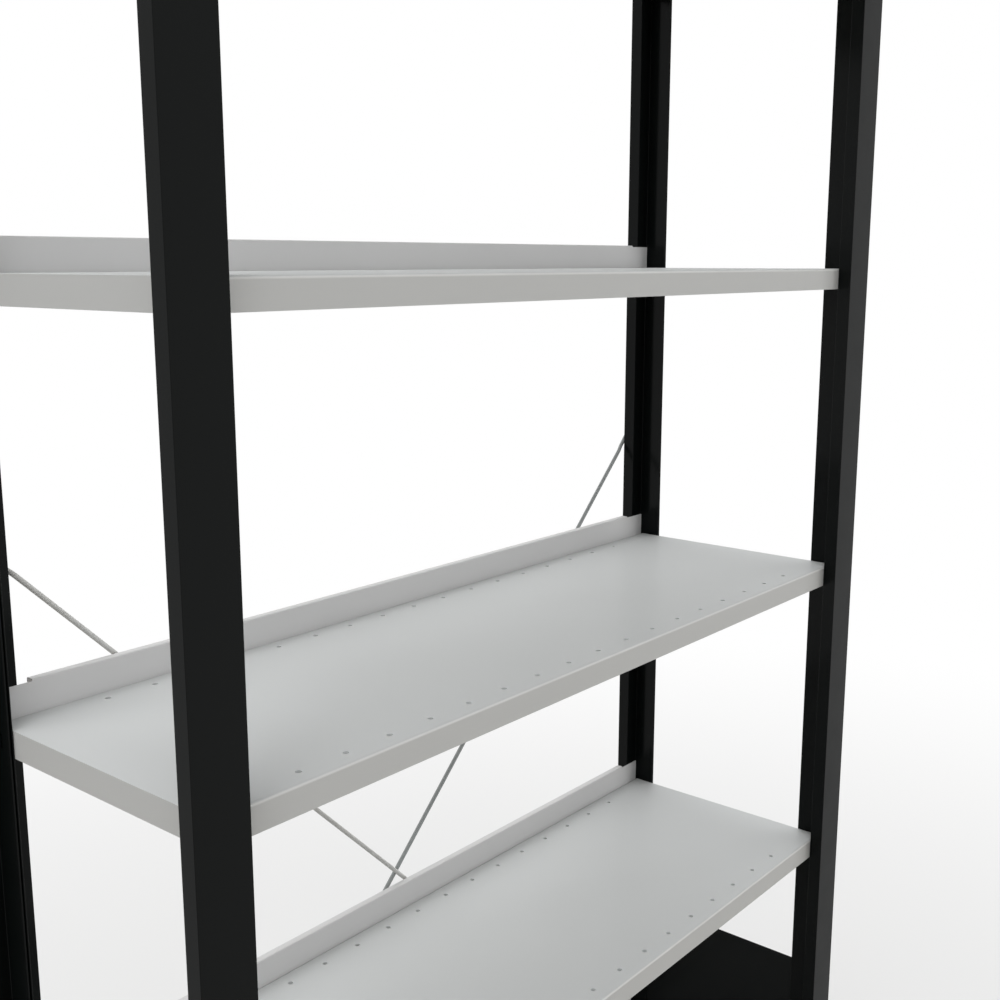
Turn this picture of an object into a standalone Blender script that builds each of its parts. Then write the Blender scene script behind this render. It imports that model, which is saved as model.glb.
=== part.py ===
"""File shelving unit: one bay of T-section steel posts that carry lift-off sheet-steel shelves.

Metres, +Z up, front towards -Y. The origin is on the floor, under the middle of the unit's outer box.
"""
import math

import bmesh
import bpy
from mathutils import Matrix

# Bay and levels
BAY_PITCH = 1.000
FRAME_DEPTH = 0.331
SHELF_COUNT = 6
SHELF_PITCH = 0.380
FIRST_SHELF_TOP = 0.120

# Gap between pieces that rest on, plug into or hook through each other
SEAT_GAP = 0.0003

# Posts: a hollow wing across the front or back, and a stem of two sheets with a groove in its free edge
WING_WIDTH = 0.050
WING_DEPTH = 0.016
WING_WALL = 0.0015
WING_CORNER = 0.0006
STEM_DEPTH = 0.030
STEM_THICKNESS = 0.004

# Plastic feet and caps, plugged into the wings
FOOT_THICKNESS = 0.005
FOOT_RIM = 0.002
FOOT_PLUG = 0.020
CAP_THICKNESS = 0.002
CAP_PLUG = 0.015

# Shelves: one sheet, bent down all round, with returns under the long edges
SHELF_SHEET = 0.001
SHELF_EDGE = 0.025
SHELF_BEND = 0.003
SHELF_RETURN = 0.012
RETURN_SETBACK = 0.045
SHELF_END_PLAY = 0.0005
SHELF_FRONT_PLAY = 0.0008
HOLE_DIAMETER = 0.0055
HOLE_PITCH = 0.050
HOLE_ROW_INSET = 0.0185
HOLE_END_MARGIN = 0.090

# Stop strips behind the shelves, hung by tabs in the shelves' rear edges
STRIP_SHEET = 0.001
STRIP_BACK_PLAY = 0.0004
STRIP_SKIRT = 0.025
LIP_HEIGHT = 0.030
LIP_FOLD = 0.0092
LIP_HEM = 0.0045
LIP_BEND = 0.0015
LIP_END_DROP = 0.0018
FOLD_SETBACK = 0.036
TAB_WIDTH = 0.020
TAB_REACH = 0.008
TAB_SPACING = 0.350
TAB_DROP = 0.012

# Shelf clips: bent strips that hook through slots in the stems
CLIP_STOCK = 0.002
CLIP_LEDGE = 0.022
CLIP_LEG_INSET = 0.003
CLIP_PLAY = 0.0005
HOOK_DROP = 0.008
HOOK_TOE = 0.005

# Side plates, held in the grooves of the stems
PLATE_SHEET = 0.001
PLATE_HEIGHT = 0.280
PLATE_GRIP = 0.0112
PLATE_END_INSET = 0.024

# Cross brace behind the shelves: two cranked rods with flattened ends, screwed to the rear wings
ROD_DIAMETER = 0.005
ROD_INSET = 0.0013
CRANK_LENGTH = 0.014
FLAT_WIDTH = 0.012
FLAT_THICKNESS = 0.0016
FLAT_LENGTH = 0.022
FLAT_TAPER = 0.014
BRACE_FOOT = 0.0385
BRACE_RISE = 1.000
SCREW_SHANK = 0.005
SCREW_LENGTH = 0.012
SCREW_HEAD = 0.010
SCREW_HEAD_HEIGHT = 0.0035

# Faces on round shapes
HOLE_SIDES = 8
ROD_SIDES = 12
SCREW_SIDES = 16
BEND_STEPS = 4

# How far a cutter stands past the face it cuts
OVERCUT = 0.002

# Worked out from the sizes above; front-post planes are mirrored for the rear posts
POST_AXIS = BAY_PITCH / 2
FRONT_FACE = -FRAME_DEPTH / 2
WING_INNER = FRONT_FACE + WING_DEPTH
GROOVE_WIDTH = PLATE_SHEET + 2 * SEAT_GAP
GROOVE_DEPTH = PLATE_GRIP + SEAT_GAP
SHELF_LENGTH = BAY_PITCH - STEM_THICKNESS - 2 * SHELF_END_PLAY
SHELF_FRONT = WING_INNER + SHELF_FRONT_PLAY
STRIP_BACK = -WING_INNER - STRIP_BACK_PLAY
STRIP_FRONT = STRIP_BACK - STRIP_SHEET
SHELF_REAR = STRIP_FRONT - SEAT_GAP
SHELF_TOPS = [FIRST_SHELF_TOP + level * SHELF_PITCH for level in range(SHELF_COUNT)]
UNIT_TOP = SHELF_TOPS[-1] + LIP_HEIGHT
POST_BOTTOM = FOOT_THICKNESS + SEAT_GAP
POST_TOP = UNIT_TOP - CAP_THICKNESS - SEAT_GAP
BRACE_HOLES = [BRACE_FOOT, BRACE_FOOT + BRACE_RISE]
FLAT_PLANE = -FRONT_FACE + SEAT_GAP + FLAT_THICKNESS / 2
WING_STEP = (ROD_DIAMETER - FLAT_THICKNESS) / 2
ROD_PASS = ROD_DIAMETER + SEAT_GAP
ROD_HALF = math.hypot(BAY_PITCH, BRACE_RISE) / 2
SCREW_SEAT = FLAT_PLANE + FLAT_THICKNESS / 2 + SEAT_GAP
REAR_REACH = max(SCREW_SEAT + SCREW_HEAD_HEIGHT, FLAT_PLANE + WING_STEP + ROD_DIAMETER / 2)
FRONT_REACH = -FRONT_FACE + FOOT_RIM

# The clip lies between the shelf's bent edge, or the strip and edge behind, and the groove of the side plates
EDGE_STACK = max(SHELF_FRONT - WING_INNER, -WING_INNER - SHELF_REAR) + SHELF_BEND
CLIP_NEAR = WING_INNER + EDGE_STACK + CLIP_PLAY
CLIP_FAR = WING_INNER + STEM_DEPTH - GROOVE_DEPTH - CLIP_PLAY
CLIP_WIDTH = CLIP_FAR - CLIP_NEAR
CLIP_CENTRE = (CLIP_NEAR + CLIP_FAR) / 2

# Heights on a clip, from the top of its shelf
LEDGE_TOP = -SHELF_SHEET - SEAT_GAP
HOOK_TOP = LEDGE_TOP - HOOK_DROP
HOOK_FOOT = HOOK_TOP - CLIP_STOCK

LEFT_RIGHT = (("left", -1), ("right", 1))
FRONT_REAR = (("front", -1), ("rear", 1))


def paint(name, colour, roughness, metallic):
    """A plain surface finish."""
    material = bpy.data.materials.new(name)
    material.use_nodes = True
    shader = material.node_tree.nodes["Principled BSDF"]
    shader.inputs["Base Color"].default_value = (*colour, 1.0)
    shader.inputs["Roughness"].default_value = roughness
    shader.inputs["Metallic"].default_value = metallic
    return material


def solid(name, shape, material=None):
    """Turn a bmesh into an object, with its faces pointing out."""
    bmesh.ops.recalc_face_normals(shape, faces=shape.faces)
    mesh = bpy.data.meshes.new(name)
    shape.to_mesh(mesh)
    shape.free()
    if material:
        mesh.materials.append(material)
    piece = bpy.data.objects.new(name, mesh)
    bpy.context.collection.objects.link(piece)
    return piece


def add_prism(shape, outline, low, high, axis):
    """Add an outline, drawn in the two other axes in X, Y, Z order, extruded along one axis."""
    def place(u, v, along):
        return {"X": (along, u, v), "Y": (u, along, v), "Z": (u, v, along)}[axis]
    near = [shape.verts.new(place(u, v, low)) for u, v in outline]
    far = [shape.verts.new(place(u, v, high)) for u, v in outline]
    shape.faces.new(near)
    shape.faces.new(reversed(far))
    for index in range(len(outline)):
        following = (index + 1) % len(outline)
        shape.faces.new((near[index], far[index], far[following], near[following]))


def prism(name, outline, low, high, axis, material=None):
    shape = bmesh.new()
    add_prism(shape, outline, low, high, axis)
    return solid(name, shape, material)


def rectangle(low_u, high_u, low_v, high_v):
    return [(low_u, low_v), (high_u, low_v), (high_u, high_v), (low_u, high_v)]


def boxes(name, spans):
    """One cutter made of separate boxes, each given as three (low, high) spans."""
    shape = bmesh.new()
    for (x0, x1), (y0, y1), (z0, z1) in spans:
        add_prism(shape, rectangle(x0, x1, y0, y1), z0, z1, "Z")
    return solid(name, shape)


def rods(name, centres, diameter, length, axis, sides):
    """One cutter made of separate round bars along an axis."""
    turn = Matrix.Rotation(math.pi / 2, 4, "X") if axis == "Y" else Matrix.Identity(4)
    shape = bmesh.new()
    for centre in centres:
        bmesh.ops.create_cone(shape, cap_ends=True, segments=sides, radius1=diameter / 2,
                              radius2=diameter / 2, depth=length, matrix=Matrix.Translation(centre) @ turn)
    return solid(name, shape)


def combine(piece, tool, operation):
    """Cut a tool out of a piece, or join it on, and remove the tool."""
    modifier = piece.modifiers.new("combine", "BOOLEAN")
    modifier.operation = operation
    modifier.solver = "EXACT"
    modifier.object = tool
    view = bpy.context.evaluated_depsgraph_get()
    result = bpy.data.meshes.new_from_object(piece.evaluated_get(view))
    piece.modifiers.clear()
    piece.data = result
    bpy.data.objects.remove(tool)


def cut(piece, tool):
    combine(piece, tool, "DIFFERENCE")


def join(piece, tool):
    combine(piece, tool, "UNION")


def smooth(piece):
    piece.data.shade_smooth()
    piece.data.set_sharp_from_angle(angle=math.radians(35))


def copies(piece, frame, placings):
    """Place copies of a piece under the frame, and remove the first one."""
    for name, location, turn in placings:
        copy = bpy.data.objects.new(name, piece.data)
        copy.location = location
        copy.rotation_euler = turn
        copy.parent = frame
        bpy.context.collection.objects.link(copy)
    bpy.data.objects.remove(piece)


def arc(centre_u, centre_v, radius, start, end):
    """Points round an arc; angles in degrees."""
    points = []
    for step in range(BEND_STEPS + 1):
        angle = math.radians(start + (end - start) * step / BEND_STEPS)
        points.append((centre_u + radius * math.cos(angle), centre_v + radius * math.sin(angle)))
    return points


def facing(depth_sign):
    """Rear pieces are front pieces turned half round."""
    return (0.0, 0.0, 0.0 if depth_sign < 0 else math.pi)


def corner_placings(prefix, height):
    """One placing for each post corner; the pieces' own Y starts at the wing's outer face."""
    placings = []
    for depth_name, depth_sign in FRONT_REAR:
        for side_name, side_sign in LEFT_RIGHT:
            location = (side_sign * POST_AXIS, -depth_sign * FRONT_FACE, height)
            placings.append((f"{prefix}_{depth_name}_{side_name}", location, facing(depth_sign)))
    return placings


def tee_outline(rim):
    """The post's T in plan, from the wing's outer face inwards, grown by a rim."""
    wing = WING_WIDTH / 2 + rim
    stem = STEM_THICKNESS / 2 + rim
    wing_back = WING_DEPTH + rim
    stem_end = WING_DEPTH + STEM_DEPTH + rim
    return [(-wing, -rim), (wing, -rim), (wing, wing_back), (stem, wing_back), (stem, stem_end),
            (-stem, stem_end), (-stem, wing_back), (-wing, wing_back)]


def post_outline():
    """The T with rounded wing corners and a groove in the stem's free edge."""
    wing = WING_WIDTH / 2 - WING_CORNER
    stem = STEM_THICKNESS / 2
    groove = GROOVE_WIDTH / 2
    stem_end = WING_DEPTH + STEM_DEPTH
    groove_floor = stem_end - GROOVE_DEPTH
    back = WING_DEPTH - WING_CORNER
    outline = arc(-wing, WING_CORNER, WING_CORNER, 180, 270)
    outline += arc(wing, WING_CORNER, WING_CORNER, 270, 360)
    outline += arc(wing, back, WING_CORNER, 0, 90)
    outline += [(stem, WING_DEPTH), (stem, stem_end), (groove, stem_end), (groove, groove_floor)]
    outline += [(-groove, groove_floor), (-groove, stem_end), (-stem, stem_end), (-stem, WING_DEPTH)]
    outline += arc(-wing, back, WING_CORNER, 90, 180)
    return outline


def post(material):
    """A post with its hollow wing and a clip slot through the stem at each shelf; Z from its lower end."""
    length = POST_TOP - POST_BOTTOM
    piece = prism("post", post_outline(), 0.0, length, "Z", material)
    inside = WING_WIDTH / 2 - WING_WALL
    cut(piece, boxes("hollow", [((-inside, inside), (WING_WALL, WING_DEPTH - WING_WALL),
                                 (-OVERCUT, length + OVERCUT))]))
    across = STEM_THICKNESS / 2 + OVERCUT
    near = CLIP_NEAR - FRONT_FACE - SEAT_GAP
    far = CLIP_FAR - FRONT_FACE + SEAT_GAP
    slots = []
    for top in SHELF_TOPS:
        foot = top - POST_BOTTOM + HOOK_FOOT - SEAT_GAP
        head = top - POST_BOTTOM + HOOK_TOP + HOOK_TOE + 2 * SEAT_GAP
        slots.append(((-across, across), (near, far), (foot, head)))
    cut(piece, boxes("clip_slots", slots))
    return piece


def make_posts(frame, material):
    front = post(material)
    rear = post(material)
    centres = [(0.0, WING_WALL / 2, height - POST_BOTTOM) for height in BRACE_HOLES]
    hole = SCREW_SHANK + 2 * SEAT_GAP
    cut(rear, rods("screw_holes", centres, hole, WING_WALL + 2 * OVERCUT, "Y", SCREW_SIDES))
    placings = corner_placings("post", POST_BOTTOM)
    for piece, word in ((front, "front"), (rear, "rear")):
        smooth(piece)
        copies(piece, frame, [placing for placing in placings if word in placing[0]])


def plug(low, high):
    """A plug that fits the hollow of a wing."""
    half = WING_WIDTH / 2 - WING_WALL - SEAT_GAP
    near = WING_WALL + SEAT_GAP
    far = WING_DEPTH - WING_WALL - SEAT_GAP
    return boxes("plug", [((-half, half), (near, far), (low, high))])


def make_feet(frame, material):
    piece = prism("foot", tee_outline(FOOT_RIM), 0.0, FOOT_THICKNESS, "Z", material)
    join(piece, plug(FOOT_THICKNESS / 2, FOOT_THICKNESS + FOOT_PLUG))
    copies(piece, frame, corner_placings("foot", 0.0))


def make_caps(frame, material):
    piece = prism("cap", tee_outline(0.0), -CAP_THICKNESS, 0.0, "Z", material)
    join(piece, plug(-CAP_THICKNESS - CAP_PLUG, -CAP_THICKNESS / 2))
    copies(piece, frame, corner_placings("cap", UNIT_TOP))


def tray_outline(inset, foot):
    """The shelf's section across its depth, rounded at both top edges, shrunk by an inset."""
    front = SHELF_FRONT + inset
    rear = SHELF_REAR - inset
    radius = SHELF_BEND - inset
    outline = [(rear, foot)]
    outline += arc(rear - radius, -inset - radius, radius, 0, 90)
    outline += arc(front + radius, -inset - radius, radius, 90, 180)
    outline += [(front, foot)]
    return outline


def under_opening():
    """The shelf's open underside in plan: narrower between the returns of the long edges."""
    end = SHELF_LENGTH / 2 - SHELF_SHEET
    middle = SHELF_LENGTH / 2 - RETURN_SETBACK
    front = SHELF_FRONT + SHELF_SHEET
    rear = SHELF_REAR - SHELF_SHEET
    inner_front = SHELF_FRONT + SHELF_RETURN
    inner_rear = SHELF_REAR - SHELF_RETURN
    return [(-end, front), (-middle, front), (-middle, inner_front), (middle, inner_front), (middle, front),
            (end, front), (end, rear), (middle, rear), (middle, inner_rear), (-middle, inner_rear),
            (-middle, rear), (-end, rear)]


def tab_places():
    return (-TAB_SPACING, 0.0, TAB_SPACING)


def hole_centres():
    """Divider holes in one row near each long edge, spaced from the middle of the shelf."""
    each_side = int((SHELF_LENGTH / 2 - HOLE_END_MARGIN) / HOLE_PITCH)
    rows = (SHELF_FRONT + HOLE_ROW_INSET, SHELF_REAR - HOLE_ROW_INSET)
    return [(index * HOLE_PITCH, row, 0.0) for row in rows for index in range(-each_side, each_side + 1)]


def shelf(material):
    """A shelf with its top at Z = 0."""
    end = SHELF_LENGTH / 2
    inner_end = end - SHELF_SHEET
    piece = prism("shelf", tray_outline(0.0, -SHELF_EDGE), -end, end, "X", material)
    cut(piece, prism("inside", tray_outline(SHELF_SHEET, SHELF_SHEET - SHELF_EDGE), -inner_end, inner_end, "X"))
    cut(piece, prism("opening", under_opening(), -SHELF_EDGE - OVERCUT, -SHELF_EDGE / 2, "Z"))

    reliefs = []
    front = (SHELF_FRONT + SHELF_SHEET, CLIP_FAR + CLIP_PLAY)
    rear = (-CLIP_FAR - CLIP_PLAY, SHELF_REAR - SHELF_SHEET)
    for span in (front, rear):
        for side in ((-end - OVERCUT, -inner_end + OVERCUT), (inner_end - OVERCUT, end + OVERCUT)):
            reliefs.append((side, span, (-SHELF_EDGE - OVERCUT, -SHELF_SHEET)))
    cut(piece, boxes("clip_reliefs", reliefs))

    half = TAB_WIDTH / 2 + SEAT_GAP
    tab_foot = -TAB_DROP - STRIP_SHEET - SEAT_GAP
    slots = []
    for place in tab_places():
        slots.append(((place - half, place + half), (SHELF_REAR - SHELF_SHEET - OVERCUT, SHELF_REAR + OVERCUT),
                      (tab_foot, -TAB_DROP + SEAT_GAP)))
    cut(piece, boxes("tab_slots", slots))
    cut(piece, rods("divider_holes", hole_centres(), HOLE_DIAMETER, SHELF_EDGE / 2, "Z", HOLE_SIDES))
    smooth(piece)
    return piece


def make_shelves(frame, material):
    placings = [(f"shelf_{level + 1}", (0.0, 0.0, top), facing(-1)) for level, top in enumerate(SHELF_TOPS)]
    copies(shelf(material), frame, placings)


def strip_outline():
    """The stop strip's section: an upright plate with its top folded back and then down in a short hem."""
    fold_back = STRIP_FRONT + LIP_FOLD
    hem_inner = fold_back - STRIP_SHEET
    fold_under = LIP_HEIGHT - STRIP_SHEET
    hem_foot = LIP_HEIGHT - LIP_HEM
    outline = [(STRIP_FRONT, -STRIP_SKIRT), (STRIP_BACK, -STRIP_SKIRT), (STRIP_BACK, fold_under),
               (hem_inner, fold_under), (hem_inner, hem_foot), (fold_back, hem_foot), (fold_back, LIP_HEIGHT)]
    outline += arc(STRIP_FRONT + LIP_BEND, LIP_HEIGHT - LIP_BEND, LIP_BEND, 90, 180)
    return outline


def stop_strip(material):
    """A stop strip in place behind a shelf with its top at Z = 0."""
    end = SHELF_LENGTH / 2
    fold_end = end - FOLD_SETBACK
    fold_back = STRIP_FRONT + LIP_FOLD
    piece = prism("stop_strip", strip_outline(), -end, end, "X", material)
    ends = ((-end - OVERCUT, -fold_end), (fold_end, end + OVERCUT))
    fold_depth = (STRIP_FRONT - OVERCUT, fold_back + OVERCUT)
    fold_height = (LIP_HEIGHT - LIP_END_DROP, LIP_HEIGHT + OVERCUT)
    cut(piece, boxes("fold_ends", [(end_span, fold_depth, fold_height) for end_span in ends]))
    hem_depth = (fold_back - STRIP_SHEET - OVERCUT, fold_back + OVERCUT)
    hem_height = (LIP_HEIGHT - LIP_HEM - OVERCUT, LIP_HEIGHT)
    cut(piece, boxes("hem_ends", [(end_span, hem_depth, hem_height) for end_span in ends]))
    half = TAB_WIDTH / 2
    depth = (STRIP_FRONT - TAB_REACH, STRIP_FRONT + STRIP_SHEET / 2)
    tabs = [((place - half, place + half), depth, (-TAB_DROP - STRIP_SHEET, -TAB_DROP)) for place in tab_places()]
    join(piece, boxes("tabs", tabs))
    smooth(piece)
    return piece


def make_stop_strips(frame, material):
    placings = [(f"stop_strip_{level + 1}", (0.0, 0.0, top), facing(-1)) for level, top in enumerate(SHELF_TOPS)]
    copies(stop_strip(material), frame, placings)


def clip_outline():
    """A right-hand clip from the front: ledge, leg, hook through the stem and toe behind it; X from the post axis."""
    face = -STEM_THICKNESS / 2 - SEAT_GAP
    behind = STEM_THICKNESS / 2 + SEAT_GAP
    leg = face - CLIP_STOCK
    toe = behind + CLIP_STOCK
    tip = face - CLIP_LEDGE
    leg_foot = -SHELF_EDGE + CLIP_LEG_INSET
    return [(tip, LEDGE_TOP), (tip, LEDGE_TOP - CLIP_STOCK), (leg, LEDGE_TOP - CLIP_STOCK), (leg, leg_foot),
            (face, leg_foot), (face, HOOK_FOOT), (behind, HOOK_FOOT), (behind, HOOK_FOOT - HOOK_TOE),
            (toe, HOOK_FOOT - HOOK_TOE), (toe, HOOK_TOP), (face, HOOK_TOP), (face, LEDGE_TOP)]


def make_clips(frame, material):
    piece = prism("shelf_clip", clip_outline(), -CLIP_WIDTH / 2, CLIP_WIDTH / 2, "Y", material)
    placings = []
    for level, top in enumerate(SHELF_TOPS):
        for depth_name, depth_sign in FRONT_REAR:
            for side_name, side_sign in LEFT_RIGHT:
                name = f"shelf_clip_{level + 1}_{depth_name}_{side_name}"
                location = (side_sign * POST_AXIS, -depth_sign * CLIP_CENTRE, top)
                placings.append((name, location, facing(-side_sign)))
    copies(piece, frame, placings)


def make_side_plates(frame, material):
    half_sheet = PLATE_SHEET / 2
    half_depth = -WING_INNER - STEM_DEPTH + PLATE_GRIP
    piece = prism("side_plate", rectangle(-half_sheet, half_sheet, -half_depth, half_depth), 0.0, PLATE_HEIGHT, "Z",
                  material)
    placings = []
    for end_name, height in (("lower", PLATE_END_INSET), ("upper", UNIT_TOP - PLATE_END_INSET - PLATE_HEIGHT)):
        for side_name, side_sign in LEFT_RIGHT:
            name = f"side_plate_{end_name}_{side_name}"
            placings.append((name, (side_sign * POST_AXIS, 0.0, height), facing(-1)))
    copies(piece, frame, placings)


def rod_stations(inset):
    """Places along one half of a rod from its middle: distance, step behind the flats, width, thickness, squareness."""
    flat_start = ROD_HALF - FLAT_LENGTH
    wing_start = flat_start - FLAT_TAPER
    crank_end = wing_start - ROD_DIAMETER / 2
    stations = [(0.0, WING_STEP - inset, ROD_DIAMETER, ROD_DIAMETER, 2)]
    for step in range(BEND_STEPS + 1):
        share = step / BEND_STEPS
        forward = inset * (1 + math.cos(math.pi * share)) / 2
        along = crank_end - CRANK_LENGTH * (1 - share)
        stations.append((along, WING_STEP - forward, ROD_DIAMETER, ROD_DIAMETER, 2))
    stations.append((wing_start, WING_STEP, ROD_DIAMETER, ROD_DIAMETER, 2))
    stations.append((flat_start, 0.0, FLAT_WIDTH, FLAT_THICKNESS, 8))
    for step in range(BEND_STEPS):
        angle = math.pi / 2 * step / BEND_STEPS
        reach = FLAT_WIDTH / 2 * math.sin(angle)
        stations.append((ROD_HALF + reach, 0.0, FLAT_WIDTH * math.cos(angle), FLAT_THICKNESS, 8))
    return stations


def rod_ring(shape, along, behind, width, thickness, squareness):
    """One ring of a rod, round or flattened; the rod runs along X and steps towards +Y."""
    ring = []
    for side in range(ROD_SIDES):
        angle = 2 * math.pi * side / ROD_SIDES
        across = math.copysign(abs(math.cos(angle)) ** (2 / squareness), math.cos(angle)) * width / 2
        deep = math.copysign(abs(math.sin(angle)) ** (2 / squareness), math.sin(angle)) * thickness / 2
        ring.append(shape.verts.new((along, behind + deep, across)))
    return ring


def brace_rod(material, inset):
    """A rod along X, straight between two cranks; inset is how far its middle lies in front of its ends."""
    half = rod_stations(inset)
    mirrored = [(-along, *rest) for along, *rest in reversed(half[1:])]
    shape = bmesh.new()
    rings = [rod_ring(shape, *station) for station in mirrored + half]
    for ring, following in zip(rings, rings[1:]):
        for side in range(ROD_SIDES):
            other = (side + 1) % ROD_SIDES
            shape.faces.new((ring[side], ring[other], following[other], following[side]))
    shape.faces.new(reversed(rings[0]))
    shape.faces.new(rings[-1])
    piece = solid("brace_rod", shape, material)
    hole = SCREW_SHANK + 2 * SEAT_GAP
    centres = [(end * ROD_HALF, 0.0, 0.0) for end in (-1, 1)]
    cut(piece, rods("screw_holes", centres, hole, FLAT_THICKNESS + 2 * OVERCUT, "Y", SCREW_SIDES))
    smooth(piece)
    return piece


def make_brace(frame, material):
    """Two straight rods that cross; the falling one passes in front of the rising one."""
    slope = math.atan2(BRACE_RISE, BAY_PITCH)
    middle = (0.0, FLAT_PLANE, BRACE_FOOT + BRACE_RISE / 2)
    for name, tilt, inset in (("brace_rod_rising", -slope, ROD_INSET),
                              ("brace_rod_falling", slope, ROD_INSET + ROD_PASS)):
        copies(brace_rod(material, inset), frame, [(name, middle, (0.0, tilt, 0.0))])


def make_brace_screws(frame, material):
    """Round-headed screws through the rods' flat ends into the rear wings."""
    piece = rods("screw_head", [(0.0, SCREW_HEAD_HEIGHT / 2, 0.0)], SCREW_HEAD, SCREW_HEAD_HEIGHT, "Y", SCREW_SIDES)
    shank_length = SCREW_LENGTH + SCREW_HEAD_HEIGHT / 2
    shank_middle = (0.0, SCREW_HEAD_HEIGHT / 2 - shank_length / 2, 0.0)
    join(piece, rods("shank", [shank_middle], SCREW_SHANK, shank_length, "Y", SCREW_SIDES))
    piece.data.materials.append(material)
    smooth(piece)
    placings = []
    for end_name, height in zip(("lower", "upper"), BRACE_HOLES):
        for side_name, side_sign in LEFT_RIGHT:
            location = (side_sign * POST_AXIS, SCREW_SEAT, height)
            placings.append((f"brace_screw_{end_name}_{side_name}", location, facing(-1)))
    copies(piece, frame, placings)


def main():
    for item in list(bpy.data.objects):
        bpy.data.objects.remove(item)
    frame = bpy.data.objects.new("unit_frame", None)
    frame.location.y = (FRONT_REACH - REAR_REACH) / 2
    bpy.context.collection.objects.link(frame)

    black_paint = paint("black_paint", (0.013, 0.014, 0.0135), 0.42, 0.0)
    grey_paint = paint("grey_paint", (0.55, 0.56, 0.555), 0.40, 0.0)
    lip_paint = paint("lip_paint", (0.52, 0.52, 0.52), 0.42, 0.0)
    zinc = paint("zinc", (0.55, 0.55, 0.53), 0.40, 1.0)
    rod_steel = paint("rod_steel", (0.32, 0.33, 0.33), 0.38, 1.0)
    black_plastic = paint("black_plastic", (0.016, 0.016, 0.017), 0.55, 0.0)

    make_posts(frame, black_paint)
    make_feet(frame, black_plastic)
    make_caps(frame, black_plastic)
    make_shelves(frame, grey_paint)
    make_stop_strips(frame, lip_paint)
    make_clips(frame, black_paint)
    make_side_plates(frame, black_paint)
    make_brace(frame, rod_steel)
    make_brace_screws(frame, zinc)


main()
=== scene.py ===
"""The visible sheet metal, brace and finishes of a file shelving unit, and the studio around it."""

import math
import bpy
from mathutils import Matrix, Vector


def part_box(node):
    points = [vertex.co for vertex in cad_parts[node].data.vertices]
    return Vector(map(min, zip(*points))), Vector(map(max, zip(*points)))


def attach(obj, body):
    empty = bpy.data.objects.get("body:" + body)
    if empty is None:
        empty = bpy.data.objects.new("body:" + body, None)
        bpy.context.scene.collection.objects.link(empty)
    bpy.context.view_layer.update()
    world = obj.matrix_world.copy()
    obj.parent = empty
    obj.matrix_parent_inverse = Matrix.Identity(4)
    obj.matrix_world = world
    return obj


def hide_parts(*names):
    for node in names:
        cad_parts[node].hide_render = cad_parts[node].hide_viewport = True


bl_info = {
    "name": "File Shelving Unit",
    "version": (1, 0, 0),
    "blender": (4, 5, 0),
    "location": "View3D > Sidebar > Shelving",
    "description": "Builds the sheet metal, brace and finishes of a file shelving unit and its studio",
    "category": "Object",
}

import bmesh
import bpy
from bpy.props import FloatProperty, FloatVectorProperty, IntProperty, PointerProperty
from mathutils import Matrix, Vector

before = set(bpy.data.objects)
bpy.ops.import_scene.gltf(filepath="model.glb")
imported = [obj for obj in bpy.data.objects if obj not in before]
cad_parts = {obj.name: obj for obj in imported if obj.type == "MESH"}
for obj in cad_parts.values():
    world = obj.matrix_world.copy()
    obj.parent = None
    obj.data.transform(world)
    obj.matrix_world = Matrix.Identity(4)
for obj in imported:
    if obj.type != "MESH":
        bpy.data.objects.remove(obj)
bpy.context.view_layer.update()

FRAME_BODY = "frame"
LEVELS = range(1, 7)
SIDES = ("left", "right")
CORNERS = [(depth, side) for depth in ("front", "rear") for side in SIDES]

# The post that the others are copies of
MODEL_POST = "post_front_right"

# How far a cutting tool stands past the face it cuts
OVERCUT = 0.002

# How far round an upward bend its painted highlight lies, from the flat top
BEND_HIGHLIGHT = math.radians(60)


# Property helpers

def length(description, default):
    return FloatProperty(description=description, default=default, min=0.0, unit="LENGTH", precision=5)


def colour(description, default):
    return FloatVectorProperty(description=description, default=default, min=0.0, max=1.0, subtype="COLOR")


def share(description, default):
    return FloatProperty(description=description, default=default, min=0.0, max=1.0, subtype="FACTOR")


def count(description, default, lowest):
    return IntProperty(description=description, default=default, min=lowest)


def number(description, default, unit):
    return FloatProperty(description=description, default=default, unit=unit)


class ShelvingPosts(bpy.types.PropertyGroup):
    """Sizes and paint of the posts, side plates and their plastic ends."""
    wing_depth: length("Depth of the post's hollow wing, front to back", 0.016)
    wing_corner: length("Radius of the wing's four corners", 0.0006)
    wing_wall: length("Sheet thickness of the hollow wing", 0.0015)
    stem_thickness: length("Both sheets of the stem together", 0.004)
    stem_edge: length("Radius on the free edges of the stem's sheets", 0.0005)
    groove_width: length("Gap between the stem's sheets at its free edge", 0.0016)
    groove_depth: length("How deep the side plate can reach between the sheets", 0.0115)
    foot_edge: length("Radius on the edges of the plastic feet and caps", 0.0008)
    foot_thickness: length("Height of the foot under the post", 0.005)
    foot_rim: length("How far the foot stands out past the post", 0.002)
    cap_thickness: length("Height of the cap above the post", 0.002)
    plug_inset: length("From the wing's outside to the plug inside it", 0.0018)
    paint: colour("Black coat on the posts and side plates", (0.0032, 0.0041, 0.0040))
    roughness: share("Roughness of the black coat", 0.36)
    shine: share("Shine of the black coat under its clear gloss", 0.02)
    plate_shine: share("The same on the side plates", 0.07)
    sheen: share("Clear gloss on the black coat", 0.18)
    sheen_blur: share("Roughness of the clear gloss", 0.15)
    plate_sheen_blur: share("The same on the side plates", 0.20)
    plastic: colour("Black of the moulded feet and caps", (0.011, 0.011, 0.012))


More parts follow.
